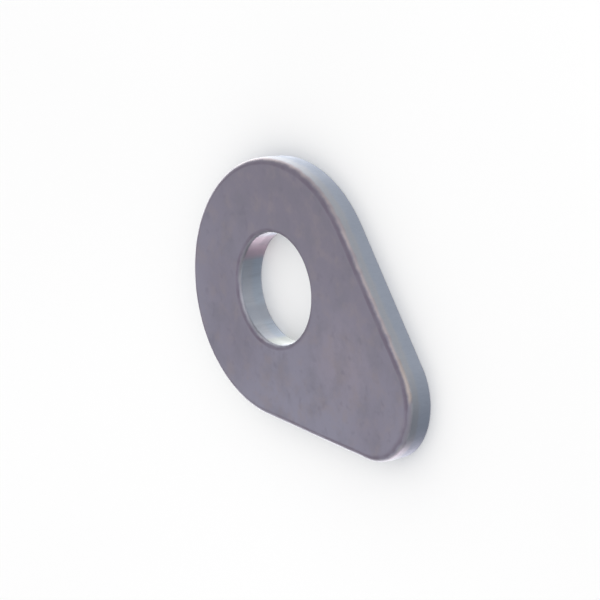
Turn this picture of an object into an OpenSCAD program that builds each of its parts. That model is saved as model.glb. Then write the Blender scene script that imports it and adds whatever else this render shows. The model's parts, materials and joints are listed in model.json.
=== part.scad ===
// Weld washer: a flat teardrop plate with one bolt bore in its round head.
// It lies on its underside. The bore's axis is the origin, and the tip points along +X.

/* [Plate] */
// Thickness of the steel plate
plate_t = 5; // [3.2:0.05:8]

/* [Outline] */
// Diameter of the round head, which is centred on the bore
head_d = 44.45; // [36:0.05:52]
// Radius of the small round at the tip
tip_r = 10.55; // [7:0.05:14]
// Distance from the bore's axis to the centre of the tip's round
tip_reach = 29.4; // [22:0.1:60]

/* [Bore] */
// Diameter of the bolt bore
bore_d = 19.05; // [12:0.05:24]
// Radius of the rounding where the upper face runs into the bore
bore_round = 0.95; // [0.2:0.05:1.2]

/* [Sheared edge] */
// Radius of the roll-over, where the punch drew the upper face down round the outline
roll_over = 1.3; // [0.3:0.05:1.5]
// Angle at which the upper face breaks into the roll-over and into the bore's rounding
break_angle = 12; // [5:1:25]
// Height of the smooth upright band that the punch burnished below the roll-over
burnish_h = 1; // [0.4:0.05:1.2]
// How far the torn lower part of the wall has run in by the time it meets the underside
breakout = 0.2; // [0.1:0.05:0.6]
// Width and height of the broken corner round the underside
corner_break = 0.15; // [0.05:0.05:0.4]

/* [Hidden] */
// Facets of a full circle
$fn = 180;

head_r = head_d / 2;
bore_r = bore_d / 2;

// Each straight flank is tangent to the head and to the tip.
// Its outward normal stands at this angle to the +X axis, and it is this long.
flank_angle = acos((head_r - tip_r) / tip_reach);
flank_length = sqrt(pow(tip_reach, 2) - pow(head_r - tip_r, 2));
flank_normal = [cos(flank_angle), sin(flank_angle)];
// A flank is set in by this hair, so that its ends meet the two rounds inside their walls
flank_set_in = 0.01;

// Heights of the centres of the roll-over and of the bore's rounding
roll_over_z = plate_t - roll_over * cos(break_angle);
bore_round_z = plate_t - bore_round * cos(break_angle);
// The burnished band ends and the torn part begins at this height
tear_z = roll_over_z - burnish_h;

// How far shapes that the plate's two faces cut off are drawn past them
past_face = 1;

// Section out to the sheared wall, where x is the distance from the centre of the
// head or tip and y is the height above the underside. It runs past both faces.
module wall_section(reach) {
    foot_x = reach - breakout - corner_break;
    polygon([
        [0, -past_face],
        [foot_x - past_face, -past_face],
        [foot_x + corner_break, corner_break],
        [reach, tear_z],
        [reach, roll_over_z],
        [reach - roll_over, roll_over_z],
        [reach - roll_over, plate_t + past_face],
        [0, plate_t + past_face]
    ]);
    translate([reach - roll_over, roll_over_z])
        circle(r = roll_over);
}

// Section of the bore, from its axis out to its wall. It runs past both faces.
module bore_section() {
    difference() {
        polygon([
            [0, -past_face],
            [bore_r + corner_break + past_face, -past_face],
            [bore_r, corner_break],
            [bore_r, bore_round_z],
            [bore_r + bore_round, bore_round_z],
            [bore_r + bore_round, plate_t + past_face],
            [0, plate_t + past_face]
        ]);
        translate([bore_r + bore_round, bore_round_z])
            circle(r = bore_round);
    }
}

// Round head
module head() {
    rotate_extrude()
        wall_section(head_r);
}

// Round tip
module tip() {
    translate([tip_reach, 0, 0])
        rotate_extrude()
            wall_section(tip_r);
}

// Straight band along one flank, from the head's tangent line to the tip's
module flank() {
    root = (head_r - tip_r) * flank_normal;
    translate([root.x, root.y, 0])
        rotate([90, 0, flank_angle])
            linear_extrude(height = flank_length)
                wall_section(tip_r - flank_set_in);
}

// Middle of the plate, which laps the head, the tip and both flanks
module web() {
    lap = tip_r / 2;
    head_corner = (head_r - lap) * flank_normal;
    tip_corner = [tip_reach, 0] + lap * flank_normal;
    translate([0, 0, -past_face])
        linear_extrude(height = plate_t + 2 * past_face)
            polygon([
                [head_corner.x, -head_corner.y],
                [tip_corner.x, -tip_corner.y],
                tip_corner,
                head_corner
            ]);
}

// Teardrop outline with its sheared wall, drawn past both faces
module outline() {
    head();
    tip();
    web();
    flank();
    mirror([0, 1, 0])
        flank();
}

// Stock plate between its two faces, larger than the outline
module stock() {
    margin = 5;
    translate([-head_r - margin, -head_r - margin, 0])
        cube([head_r + tip_reach + tip_r + 2 * margin, head_d + 2 * margin, plate_t]);
}

// The whole washer, one piece of bluish grey plate steel
module weld_washer() {
    color([0.51, 0.50, 0.55])
        difference() {
            intersection() {
                stock();
                outline();
            }
            rotate_extrude()
                bore_section();
        }
}

weld_washer();
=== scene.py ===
import json
import math

import bpy
import numpy as np
from mathutils import Matrix, Vector, noise


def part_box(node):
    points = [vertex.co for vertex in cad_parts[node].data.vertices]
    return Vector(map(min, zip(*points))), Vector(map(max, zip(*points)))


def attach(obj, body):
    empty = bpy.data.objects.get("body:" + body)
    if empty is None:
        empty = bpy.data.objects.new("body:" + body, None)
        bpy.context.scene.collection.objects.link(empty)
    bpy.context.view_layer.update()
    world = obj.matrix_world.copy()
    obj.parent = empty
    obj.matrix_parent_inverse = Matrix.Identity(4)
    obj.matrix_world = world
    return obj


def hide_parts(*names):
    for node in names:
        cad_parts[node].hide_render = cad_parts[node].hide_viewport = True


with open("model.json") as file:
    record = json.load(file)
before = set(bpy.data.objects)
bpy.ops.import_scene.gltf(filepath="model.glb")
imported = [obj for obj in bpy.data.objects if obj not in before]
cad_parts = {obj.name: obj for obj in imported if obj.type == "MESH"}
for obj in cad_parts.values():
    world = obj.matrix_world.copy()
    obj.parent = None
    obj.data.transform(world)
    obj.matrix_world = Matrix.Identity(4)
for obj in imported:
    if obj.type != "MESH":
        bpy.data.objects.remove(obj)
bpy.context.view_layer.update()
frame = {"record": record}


def srgb(red, green, blue):
    """Scene-linear colour of a screen colour given from 0 to 255."""
    def linear(value):
        value /= 255
        return value / 12.92 if value <= 0.04045 else ((value + 0.055) / 1.055) ** 2.4
    return (linear(red), linear(green), linear(blue), 1.0)


def unit(azimuth, elevation):
    """Direction at an azimuth from +X towards +Y and an elevation above the floor, in degrees."""
    a, e = math.radians(azimuth), math.radians(elevation)
    return Vector((math.cos(a) * math.cos(e), math.sin(a) * math.cos(e), math.sin(e)))


# Everything is in metres, in the frame's axes: the bore's axis is the origin, the tip
# points along +X, and the washer lies on its underside at z = 0.
MM = 0.001
NODE = "weld_washer"

# Sizes that the frame gives
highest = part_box(NODE)[1]
mounts = {mount["name"]: mount for mount in frame["record"]["mounts"]}
PLATE_T = highest.z
HEAD_R = highest.y
BORE_R = mounts["bolt_bore"]["dims"]["r_mm"] * MM

# Sizes of the outline and of the sheared edge, as in the part's source
TIP_R = 10.55 * MM
TIP_REACH = highest.x - TIP_R
ROLL_OVER = 1.3 * MM
BORE_ROUND = 0.95 * MM
BREAK_ANGLE = math.radians(12)
BURNISH_H = 1.0 * MM
BREAKOUT = 0.2 * MM
CORNER_BREAK = 0.15 * MM

# How far the punch's work strays from those sizes, and how far apart its waves are
ROLL_OVER_STRAY = 0.06          # share of the radius of the roll-over and of the bore's rounding
ROLL_OVER_WAVE = 9 * MM
BORE_ROUND_WAVE = 6 * MM
TEAR_STRAY = 0.16 * MM          # rise and fall of the line where the tear begins
TEAR_WAVE = 2.2 * MM
TORN_DEPTH = 0.045 * MM         # depth of the torn grain
TORN_GRAIN = 0.55 * MM
TORN_DRAW = (1, 1, 0.35)        # the torn grain is drawn out along the wall's height
FACE_SAG = 0.02 * MM            # depth of the slow hollows in the rolled face
FACE_SAG_WAVE = 14 * MM

# Marks along the washer's section, which its rings and its material share: the middle of the
# face, its break into the edge, the wall's top, the start of the tear, the lower corner, the
# underside's rim and the underside within it
FACE, EDGE, WALL, TEAR, CORNER, BASE, UNDERSIDE = -1, 0, 1, 2, 3, 4, 5

# Mesh density
OUTLINE_STEPS = 960
FACE_STEPS = 22
UNDERSIDE_STEPS = 6
ROLL_STEPS = 14
BURNISH_STEPS = 4
TEAR_STEPS = 12
FACE_CROWDING = 0.85            # 0 spaces a face's rings evenly, and 1 crowds them at its edges

# Where the steel's zones begin and end, as marks along the section
# The painted dark line along the face's break, a painted dark reflection
DARK_LINE_START = (-0.07, 0.03)
DARK_LINE_END = (0.24, 0.4)
RIDGE_START = (0.33, 0.66)
SHEARED_START = (0.65, 0.95)
TORN_START = (1.7, 2.3)
UNDERSIDE_START = (3.6, 4.2)
ZONE_WANDER = 0.075             # how far their borders stray
HIGHLIGHT_CORNER_GAIN = 0.08         # how much sooner the ridge begins at the corner with the painted highlight

# Colours of the face. A painted light gradient makes it paler towards one azimuth, in degrees.
FACE_LIT_AZIMUTH = -80
FACE_SHADED_SIDE = srgb(122, 117, 130)
FACE_LIT_SIDE = srgb(135, 133, 148)
FACE_PATCH = srgb(119, 117, 128)
FACE_WARM = srgb(137, 129, 135)
FACE_SPOT = srgb(108, 105, 119)
FACE_GRAIN = srgb(113, 108, 119)
FACE_NOISE_TURN = (0.5, 0.4, 0.6)   # radians; keeps the grid of its noises off the plate's axes
PAINTED_DARK_LINE = srgb(113, 106, 120)

# Broad faint painted shade and painted light on the face, each with its centre, its radius and its
# colour
FACE_PAINTED_SHADES = (
    ((-12 * MM, -7 * MM), 9 * MM, srgb(126, 122, 136)),
    ((-4 * MM, -13 * MM), 13 * MM, srgb(126, 122, 136)),
    ((21 * MM, 1 * MM), 12 * MM, srgb(138, 132, 145)),
    ((33 * MM, -4 * MM), 9 * MM, srgb(129, 125, 139)),
)

# Colours of the ridge round the outline and round the bore, among them painted highlights and painted
# shades
RIDGE = srgb(149, 148, 155)
RIDGE_WARM = srgb(149, 142, 148)
RIDGE_RUBBED = srgb(160, 152, 155)
RIDGE_PAINTED_HIGHLIGHT = srgb(159, 150, 148)
RIDGE_PAINTED_SHADE = srgb(134, 132, 142)
BORE_RIDGE = srgb(148, 148, 156)
BORE_RIDGE_PAINTED_SHADE = srgb(129, 129, 136)
BORE_RIDGE_PAINTED_HIGHLIGHT = srgb(192, 192, 200)

# Colours of the walls. The bore's are painted paler, to make up for the shade in the bore.
SMOOTH_WALL = srgb(157, 160, 167)
SMOOTH_BORE_PAINTED_PALER = srgb(171, 175, 183)
TORN_WALL = srgb(153, 160, 173)
TORN_BORE_PAINTED_PALER = srgb(167, 176, 188)
STREAK = srgb(118, 122, 134)
RUB = srgb(130, 133, 142)

# Painted reflections and painted shades on the bore's wall. Each has its azimuth from the bore's axis,
# the shares of the radius, measured towards that azimuth, between which it sets in, and its colour.
BORE_PAINTED_REFLECTIONS = (
    (176, 0.965, 0.995, srgb(184, 168, 179)),
    (163, 0.975, 0.998, srgb(163, 156, 165)),
    (247, 0.975, 0.998, srgb(158, 163, 173)),
    (-65, 0.965, 0.995, srgb(172, 176, 174)),
)

# Camera, solved from the photograph's silhouette and bore. The angles are in degrees. The
# roll tilts the picture's up clockwise.
CAMERA_TARGET = Vector((6.489 * MM, 3.011 * MM, PLATE_T))
CAMERA_AZIMUTH = 45.417
CAMERA_ELEVATION = 37.328
CAMERA_ROLL = 99.798
CAMERA_DISTANCE = 2.79026
CAMERA_LENS_MM = 1000
CAMERA_CLIP = (0.1, 20)

# The room is plain white above the horizon. Below it, where only reflections see past the
# floor, it is grey on one side, brighter towards a glow, and it holds a small panel that is
# faintly pink. Each direction is an azimuth and an elevation in degrees.
WHITE = (1.0, 1.0, 1.0, 1.0)
GREY_TOWARDS = (-34, 30)
GREY = (0.185, 0.21, 0.26, 1.0)
GLOW_TOWARDS = (215, 21)
GLOW_SPREAD = math.radians(100)
GLOW = (3.85, 3.85, 3.85, 1.0)
PANEL_TOWARDS = (-75, -24)
PANEL_SPREAD = math.radians(20)
PANEL = (3.4, 2.85, 3.05, 1.0)
HORIZON_FADE = (-0.05, -0.2)    # sines of the elevations between which the white ends

# Floor
FLOOR_HALF = 2.5                # half of its width
FLOOR_DROP = 0.02 * MM          # how far it lies below the washer's underside
FLOOR_TONES = (0.90, 0.92)


# Shape

def outline_frame(count):
    """Points round the teardrop and their outward normals, evenly spaced, as (n, 2) arrays."""
    flank_angle = math.acos((HEAD_R - TIP_R) / TIP_REACH)
    flank = math.sqrt(TIP_REACH**2 - (HEAD_R - TIP_R)**2)
    lengths = [2 * flank_angle * TIP_R, flank, 2 * (math.pi - flank_angle) * HEAD_R, flank]
    ends = np.cumsum(lengths)
    along = np.arange(count) / count * ends[-1]
    points, normals = np.zeros((count, 2)), np.zeros((count, 2))
    for i, s in enumerate(along):
        stretch = int(np.searchsorted(ends, s, side="right"))
        s -= ends[stretch] - lengths[stretch]
        if stretch == 0:
            angle, centre, radius, run = -flank_angle + s / TIP_R, TIP_REACH, TIP_R, 0
        elif stretch == 1:
            angle, centre, radius, run = flank_angle, TIP_REACH, TIP_R, s
        elif stretch == 2:
            angle, centre, radius, run = flank_angle + s / HEAD_R, 0, HEAD_R, 0
        else:
            angle, centre, radius, run = -flank_angle, 0, HEAD_R, s
        normal = np.array([math.cos(angle), math.sin(angle)])
        tangent = np.array([-normal[1], normal[0]])
        points[i] = np.array([centre, 0]) + radius * normal + run * tangent
        normals[i] = normal
    return points, normals


def stray(points, wave, seed, octaves=3):
    """Smooth noise of about -1 to 1 at each point, with features about a wave across."""
    offset = Vector((seed * 7.3, seed * 3.1, seed * 5.7))
    return np.array([
        noise.fractal(Vector(p) / wave + offset, 0.6, 2.0, octaves) for p in points
    ])


def as_3d(points, z):
    """(n, 2) points at one height or at n heights, as (n, 3)."""
    return np.column_stack([points, np.broadcast_to(z, len(points))])


def rounding(radius, share):
    """How far in from the wall and how far above its centre a rounded edge is.

    The share is 0 where the face breaks and 1 where the wall begins."""
    tilt = BREAK_ANGLE + share * (math.pi / 2 - BREAK_ANGLE)
    return radius * (1 - math.sin(tilt)), radius * math.cos(tilt)


class Rings:
    """Closed rings of points, each of them right round the washer.

    Together they follow its section. Each has its mark along the section, and a share that is
    1 at the bore and 0 at the outline, and runs between them across both faces."""

    def __init__(self):
        self.points, self.section, self.bore = [], [], []

    def add(self, points, section, bore):
        self.points.append(points)
        self.section.append(section)
        self.bore.append(bore)

    def extend(self, other):
        self.points += other.points
        self.section += other.section
        self.bore += other.bore


def outer_edge(base, normals):
    """Rings down the sheared edge, from the face's break to the underside."""
    rings = Rings()
    wander = stray(as_3d(base, 0), ROLL_OVER_WAVE, seed=1)
    radius = ROLL_OVER * (1 + ROLL_OVER_STRAY * wander)
    roll_z = PLATE_T - radius * math.cos(BREAK_ANGLE)
    tear_line = stray(as_3d(base, 0), TEAR_WAVE, seed=2, octaves=4)
    tear_z = roll_z - BURNISH_H + TEAR_STRAY * tear_line

    def ring(inset, z, section):
        inset = np.broadcast_to(inset, len(base))
        rings.add(as_3d(base - normals * inset[:, None], z), section, 0)

    for step in range(ROLL_STEPS + 1):
        share = step / ROLL_STEPS
        inset, rise = rounding(radius, share)
        ring(inset, roll_z + rise, EDGE + share)
    for step in range(1, BURNISH_STEPS + 1):
        share = step / BURNISH_STEPS
        ring(0, roll_z + share * (tear_z - roll_z), WALL + share)
    for step in range(1, TEAR_STEPS + 1):
        share = step / TEAR_STEPS
        z = tear_z + share * (CORNER_BREAK - tear_z)
        # The grain deepens over the upper half of the tear, and is gone at the lower corner
        grain = 0.5 + 0.5 * stray(as_3d(base, z) * TORN_DRAW, TORN_GRAIN, seed=3, octaves=4)
        depth = TORN_DEPTH * math.sin(math.pi * min(share * 2, 1) / 2) * grain
        ring(BREAKOUT * share + np.clip(depth, 0, None) * (1 - share**4), z, TEAR + share)
    ring(BREAKOUT + CORNER_BREAK, 0, BASE)
    return rings


def bore_edge(angles):
    """Rings up the bore, from the underside to the face's break."""
    rings = Rings()
    spokes = np.column_stack([np.cos(angles), np.sin(angles)])
    wander = stray(as_3d(spokes * BORE_R, 0), BORE_ROUND_WAVE, seed=4)
    radius = BORE_ROUND * (1 + ROLL_OVER_STRAY * wander)
    round_z = PLATE_T - radius * math.cos(BREAK_ANGLE)

    def ring(outset, z, section):
        reach = np.broadcast_to(BORE_R + outset, len(angles))
        rings.add(as_3d(spokes * reach[:, None], z), section, 1)

    ring(CORNER_BREAK, 0, BASE)
    for step in range(TEAR_STEPS + 1):
        share = step / TEAR_STEPS
        z = CORNER_BREAK + share * (round_z - CORNER_BREAK)
        ring(0, z, CORNER + share * (WALL - CORNER))
    for step in range(1, ROLL_STEPS + 1):
        share = 1 - step / ROLL_STEPS
        outset, rise = rounding(radius, share)
        ring(outset, round_z + rise, EDGE + share)
    return rings


def flat_between(inner, outer, z, steps, section_at, bore_first, sag=0.0):
    """Rings across a face, between two rings that are there already."""
    rings = Rings()
    for step in range(1, steps):
        share = step / steps
        share -= FACE_CROWDING * math.sin(2 * math.pi * share) / (2 * math.pi)
        points = inner * (1 - share) + outer * share
        hollow = np.zeros(len(points))
        if sag:
            waves = 0.5 + 0.5 * stray(points, FACE_SAG_WAVE, seed=5, octaves=2)
            hollow = sag * math.sin(math.pi * share) * waves.clip(0, 1)
        across = 1 - share if bore_first else share
        rings.add(as_3d(points[:, :2], z - hollow), section_at(share), across)
    return rings


def washer_rings():
    """Rings up the bore, across the face, down the outline and back across the underside."""
    base, normals = outline_frame(OUTLINE_STEPS)
    rings = bore_edge(np.unwrap(np.arctan2(base[:, 1], base[:, 0])))
    edge = outer_edge(base, normals)

    def over_face(share):
        return FACE * math.sin(math.pi * share)

    def over_underside(share):
        return UNDERSIDE

    face_ends = rings.points[-1], edge.points[0]
    underside_ends = edge.points[-1], rings.points[0]
    rings.extend(flat_between(*face_ends, PLATE_T, FACE_STEPS, over_face, True, FACE_SAG))
    rings.extend(edge)
    rings.extend(flat_between(*underside_ends, 0, UNDERSIDE_STEPS, over_underside, False))
    return rings


def washer_mesh():
    """The washer as one closed skin of quads, with its place on the section as attributes."""
    rings = washer_rings()
    count, steps = len(rings.points), OUTLINE_STEPS
    ring, step = np.meshgrid(np.arange(count), np.arange(steps), indexing="ij")
    next_ring, next_step = (ring + 1) % count, (step + 1) % steps
    quads = np.stack([
        ring * steps + step,
        next_ring * steps + step,
        next_ring * steps + next_step,
        ring * steps + next_step,
    ], axis=-1).reshape(-1, 4)
    mesh = bpy.data.meshes.new("weld_washer_skin")
    mesh.from_pydata(np.concatenate(rings.points).tolist(), [], quads.tolist())
    for name, values in (("section", rings.section), ("bore", rings.bore)):
        layer = mesh.attributes.new(name, "FLOAT", "POINT")
        layer.data.foreach_set("value", np.repeat(values, steps).astype(np.float32))
    mesh.polygons.foreach_set("use_smooth", np.ones(len(mesh.polygons), bool))
    mesh.validate()
    mesh.update()
    return mesh


# Materials

class Nodes:
    """Short calls for the nodes of one material or world."""

    def __init__(self, owner):
        owner.use_nodes = True
        self.tree = owner.node_tree
        self.tree.nodes.clear()

    def put(self, socket, value):
        """A value, or what another node gives, into a socket."""
        if isinstance(value, bpy.types.NodeSocket):
            self.tree.links.new(value, socket)
        else:
            socket.default_value = value

    def add(self, kind, inputs=None, **settings):
        node = self.tree.nodes.new(kind)
        for name, value in settings.items():
            setattr(node, name, value)
        for name, value in (inputs or {}).items():
            self.put(node.inputs[name], value)
        return node

    def coordinates(self, kind):
        return self.add("ShaderNodeTexCoord").outputs[kind]

    def attribute(self, name):
        return self.add("ShaderNodeAttribute", attribute_name=name).outputs["Fac"]

    def mapping(self, at, **changes):
        """A place after a Scale or a Rotation."""
        return self.add("ShaderNodeMapping", {"Vector": at, **changes}).outputs["Vector"]

    def noise(self, at, scale, detail=4.0, roughness=0.55):
        """Noise of 0 to 1, with scale features to a metre."""
        inputs = {"Vector": at, "Scale": scale, "Detail": detail, "Roughness": roughness}
        return self.add("ShaderNodeTexNoise", inputs).outputs["Fac"]

    def math(self, operation, a, b):
        return self.add("ShaderNodeMath", {0: a, 1: b}, operation=operation).outputs[0]

    def measure(self, operation, a, b):
        """One number from two vectors: their DOT_PRODUCT or DISTANCE."""
        node = self.add("ShaderNodeVectorMath", {0: a, 1: b}, operation=operation)
        return node.outputs["Value"]

    def span(self, value, low, high, to_low=0.0, to_high=1.0):
        """value from low..high to to_low..to_high, smooth and clamped."""
        inputs = {"Value": value, "From Min": low, "From Max": high,
                  "To Min": to_low, "To Max": to_high}
        node = self.add("ShaderNodeMapRange", inputs, interpolation_type="SMOOTHSTEP")
        return node.outputs["Result"]

    def mix(self, share, a, b):
        """Colour a where share is 0, and b where it is 1."""
        # Inputs 0, 6 and 7 are the share and the two colours, and output 2 is their mix
        return self.add("ShaderNodeMix", {0: share, 6: a, 7: b}, data_type="RGBA").outputs[2]

    def side(self, at, azimuth, low, high, centre_x=0.0):
        """0 to 1 from low to high, as measured from a centre on the X axis towards an azimuth."""
        aim = unit(azimuth, 0)
        start = centre_x * aim.x
        return self.span(self.measure("DOT_PRODUCT", at, aim), start + low, start + high)

    def spot(self, at, centre, radius):
        """1 at a centre, fading to 0 at a radius."""
        return self.span(self.measure("DISTANCE", at, centre), 0.0, radius, 1.0, 0.0)


def face_colour(n, at, turned, patches):
    """The face: a painted light gradient and broad painted shade, under patches, warm patches, spots
    and fine grains.
    """
    # Painted light gradient: the face is paler towards one azimuth
    lit_side = n.side(at, FACE_LIT_AZIMUTH, -HEAD_R, HEAD_R)
    face = n.mix(lit_side, FACE_SHADED_SIDE, FACE_LIT_SIDE)
    # Broad painted shade and painted light on the face
    for centre, radius, shade in FACE_PAINTED_SHADES:
        face = n.mix(n.spot(at, (*centre, PLATE_T), radius), face, shade)
    face = n.mix(n.span(patches, 0.42, 0.72, 0.0, 0.50), face, FACE_PATCH)
    warm = n.noise(turned, 310, 3, 0.6)
    face = n.mix(n.span(warm, 0.45, 0.75, 0.0, 0.5), face, FACE_WARM)
    spots = n.noise(turned, 560, 1)
    face = n.mix(n.span(spots, 0.58, 0.8, 0.0, 0.3), face, FACE_SPOT)
    grains = n.noise(turned, 3200, 2)
    return n.mix(n.span(grains, 0.6, 0.8, 0.0, 0.12), face, FACE_GRAIN)


def painted_dark_line(n, at, section, place):
    """How strong the painted dark line, a painted dark reflection, is where the face breaks. Its
    strength varies unevenly.
    """
    strength = n.span(n.noise(at, 330, 2), 0.36, 0.62, 0.5, 1.0)
    line = n.math(
        "MULTIPLY",
        n.span(section, *DARK_LINE_START),
        n.span(place, *DARK_LINE_END, 1.0, 0.0),
    )
    return n.math("MULTIPLY", line, strength)


def ridge_colour(n, at, bore, highlight_corner):
    """The rubbed ridge.

    Round the outline it is warm on one side, has a painted highlight where that side's flank meets the
    tip, and painted shade at the tip. Round the bore it has painted shade on one side and a painted
    highlight on another."""
    rubbed = n.span(n.noise(at, 240, 2), 0.36, 0.64)
    warm_side = n.side(at, 90, 3 * MM, 6 * MM)
    shaded_tip = n.side(at, 15, 0.885 * TIP_R, 0.935 * TIP_R, TIP_REACH)
    outer = n.mix(warm_side, RIDGE, n.mix(rubbed, RIDGE_WARM, RIDGE_RUBBED))
    # A painted highlight where the flank meets the tip, and painted shade at the tip
    outer = n.mix(highlight_corner, outer, RIDGE_PAINTED_HIGHLIGHT)
    outer = n.mix(shaded_tip, outer, RIDGE_PAINTED_SHADE)

    # Painted shade on one side of the bore's ridge, and a painted highlight on another
    shaded_bore = n.side(at, 185, 0.935 * BORE_R, BORE_R)
    highlit_bore = n.side(at, -50, 0.74 * BORE_R, 0.93 * BORE_R)
    inner = n.mix(shaded_bore, BORE_RIDGE, BORE_RIDGE_PAINTED_SHADE)
    inner = n.mix(highlit_bore, inner, BORE_RIDGE_PAINTED_HIGHLIGHT)
    return n.mix(bore, outer, inner)


def wall_colour(n, at, upright, bore, torn, drag, grain):
    """The wall, drawn smooth at first and torn below, with streaks, rubs and the bore's painted
    reflections and shades, and the bore painted paler.
    """
    # The bore's walls are painted paler than the outer walls
    smooth_wall = n.mix(bore, SMOOTH_WALL, SMOOTH_BORE_PAINTED_PALER)
    torn_wall = n.mix(bore, TORN_WALL, TORN_BORE_PAINTED_PALER)
    wall = n.mix(torn, smooth_wall, torn_wall)
    streaks = n.span(n.math("MAXIMUM", drag, grain), 0.45, 0.75, 0.0, 0.1)
    wall = n.mix(streaks, wall, STREAK)
    rubs = n.span(n.noise(upright, 900, 3), 0.5, 0.7, 0.0, 0.2)
    wall = n.mix(n.math("MULTIPLY", rubs, bore), wall, RUB)
    # Painted reflections and painted shades on the bore's wall
    for azimuth, start, full, reflection in BORE_PAINTED_REFLECTIONS:
        share = n.side(at, azimuth, start * BORE_R, full * BORE_R)
        wall = n.mix(n.math("MULTIPLY", share, bore), wall, reflection)
    return wall


def fine_relief(n, at, torn, sheared, drag, grain):
    """Dimples everywhere, drag marks on the walls and a rough grain where they are torn."""
    relief = n.math("MULTIPLY", n.noise(at, 1500, 5, 0.6), 0.6)
    relief = n.math("ADD", relief, n.math("MULTIPLY", n.math("MULTIPLY", grain, torn), 2.0))
    relief = n.math("ADD", relief, n.math("MULTIPLY", n.math("MULTIPLY", drag, sheared), 0.3))
    bump = n.add("ShaderNodeBump", {"Strength": 0.25, "Distance": 0.04 * MM, "Height": relief})
    return bump.outputs["Normal"]


def steel_material():
    """Tumbled mild steel, with the zones of a sheared edge."""
    material = bpy.data.materials.new("tumbled_steel")
    n = Nodes(material)
    at = n.coordinates("Object")
    upright = n.mapping(at, Scale=(1, 1, 0.12))
    bore = n.attribute("bore")
    section = n.attribute("section")
    wander = n.span(n.noise(at, 480, 3, 0.6), 0.3, 0.7, -ZONE_WANDER, ZONE_WANDER)
    place = n.math("ADD", section, wander)

    sheared = n.span(place, *SHEARED_START)
    torn = n.span(place, *TORN_START)
    underside = n.span(place, *UNDERSIDE_START)
    # The corner where the ridge has a painted highlight and starts sooner
    highlight_corner = n.side(at, 54, 0.88 * TIP_R, 0.95 * TIP_R, TIP_REACH)
    highlight_place = n.math("ADD", place, n.math("MULTIPLY", highlight_corner, HIGHLIGHT_CORNER_GAIN))
    ridge = n.span(highlight_place, *RIDGE_START)

    turned = n.mapping(at, Rotation=FACE_NOISE_TURN)
    patches = n.noise(turned, 190, 4, 0.6)
    drag = n.noise(upright, 5200, 4)
    grain = n.noise(upright, 2600, 6, 0.7)

    face = face_colour(n, at, turned, patches)
    # A painted dark reflection along the face's break
    colour = n.mix(painted_dark_line(n, at, section, place), face, PAINTED_DARK_LINE)
    colour = n.mix(ridge, colour, ridge_colour(n, at, bore, highlight_corner))
    colour = n.mix(sheared, colour, wall_colour(n, at, upright, bore, torn, drag, grain))
    colour = n.mix(underside, colour, face)

    roughness = n.span(patches, 0.3, 0.7, 0.40, 0.46)
    roughness = n.math("ADD", roughness, n.math("MULTIPLY", torn, 0.08))

    shader = n.add("ShaderNodeBsdfPrincipled", {
        "Base Color": colour,
        "Roughness": roughness,
        "Normal": fine_relief(n, at, torn, sheared, drag, grain),
        "Metallic": 1.0,
    })
    n.add("ShaderNodeOutputMaterial", {"Surface": shader.outputs[0]})
    return material


def floor_material():
    """Matt white studio board."""
    material = bpy.data.materials.new("studio_board")
    n = Nodes(material)
    tone = n.span(n.noise(n.coordinates("Object"), 6, 2), 0.3, 0.7, *FLOOR_TONES)
    colour = n.add("ShaderNodeCombineColor", {"Red": tone, "Green": tone, "Blue": tone})
    shader = n.add("ShaderNodeBsdfPrincipled", {
        "Base Color": colour.outputs[0],
        "Roughness": 0.9,
        "Specular IOR Level": 0.1,
    })
    n.add("ShaderNodeOutputMaterial", {"Surface": shader.outputs[0]})
    return material


# Scene

def add_washer():
    washer = bpy.data.objects.new("weld_washer_skin", washer_mesh())
    bpy.context.scene.collection.objects.link(washer)
    washer.data.materials.append(steel_material())
    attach(washer, "root")
    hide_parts(NODE)


def add_floor():
    """A floor that catches the washer's shadow. The steel doesn't mirror it, and it shades nothing."""
    low, high = -FLOOR_HALF, FLOOR_HALF
    mesh = bpy.data.meshes.new("studio_floor")
    corners = [(low, low, 0), (high, low, 0), (high, high, 0), (low, high, 0)]
    mesh.from_pydata(corners, [], [(0, 1, 2, 3)])
    floor = bpy.data.objects.new("studio_floor", mesh)
    floor.location.z = -FLOOR_DROP
    floor.data.materials.append(floor_material())
    floor.visible_glossy = False
    floor.visible_shadow = False
    bpy.context.scene.collection.objects.link(floor)


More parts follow.
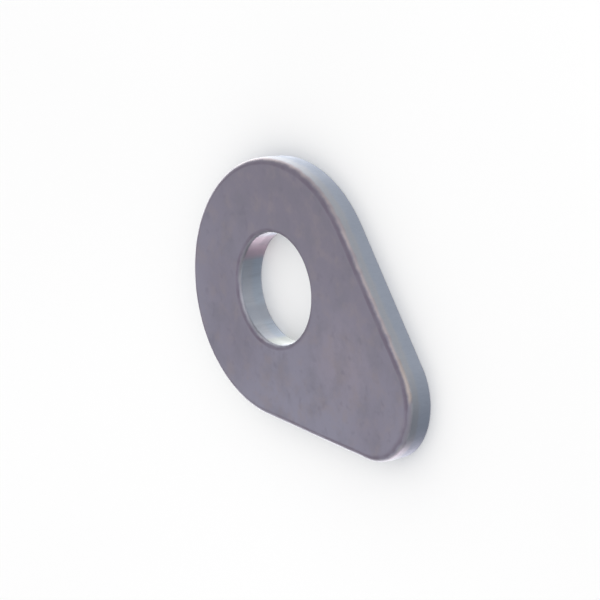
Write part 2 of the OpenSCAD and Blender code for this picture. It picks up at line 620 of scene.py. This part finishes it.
def add_softbox(name, azimuth, elevation, distance, size, radiance):
    """A square lamp that faces the washer, with the radiance of its surface."""
    light = bpy.data.lights.new(name, "AREA")
    light.shape = "SQUARE"
    light.size = size
    light.energy = radiance * math.pi * size**2
    lamp = bpy.data.objects.new(name, light)
    toward = unit(azimuth, elevation)
    lamp.location = CAMERA_TARGET + toward * distance
    lamp.rotation_euler = toward.to_track_quat("Z", "Y").to_euler()
    bpy.context.scene.collection.objects.link(lamp)


def add_world():
    """A white room, with the shades below the horizon that the walls reflect."""
    world = bpy.data.worlds.new("white_room")
    n = Nodes(world)
    direction = n.coordinates("Generated")

    def toward(azimuth, elevation):
        """Cosine of the angle between the direction looked in and an azimuth and elevation."""
        return n.measure("DOT_PRODUCT", direction, unit(azimuth, elevation))

    low = n.mix(n.span(toward(*GREY_TOWARDS), -1.0, 1.0), WHITE, GREY)
    low = n.mix(n.span(toward(*GLOW_TOWARDS), math.cos(GLOW_SPREAD), 1.0), low, GLOW)
    low = n.mix(n.span(toward(*PANEL_TOWARDS), math.cos(PANEL_SPREAD), 1.0), low, PANEL)
    room = n.mix(n.span(toward(0, 90), *HORIZON_FADE), WHITE, low)
    background = n.add("ShaderNodeBackground", {"Color": room, "Strength": 1.0})
    n.add("ShaderNodeOutputWorld", {"Surface": background.outputs[0]})
    bpy.context.scene.world = world


def add_camera():
    toward = unit(CAMERA_AZIMUTH, CAMERA_ELEVATION)
    level_right = Vector((0, 0, 1)).cross(toward).normalized()
    level_up = toward.cross(level_right)
    roll = math.radians(CAMERA_ROLL)
    up = level_up * math.cos(roll) + level_right * math.sin(roll)
    right = up.cross(toward)
    data = bpy.data.cameras.new("photo_camera")
    data.lens = CAMERA_LENS_MM
    data.clip_start, data.clip_end = CAMERA_CLIP
    camera = bpy.data.objects.new("photo_camera", data)
    turn = Matrix((right, up, toward)).transposed().to_4x4()
    camera.matrix_world = Matrix.Translation(CAMERA_TARGET + toward * CAMERA_DISTANCE) @ turn
    bpy.context.scene.collection.objects.link(camera)
    bpy.context.scene.camera = camera


bpy.context.scene.view_settings.view_transform = "Standard"
add_camera()
add_world()
add_softbox("front_softbox", azimuth=60, elevation=30, distance=0.9, size=0.6, radiance=0.9)
add_softbox("key_softbox", azimuth=240, elevation=62, distance=0.9, size=0.4, radiance=0.65)
add_floor()
add_washer()

bpy.context.view_layer.update()
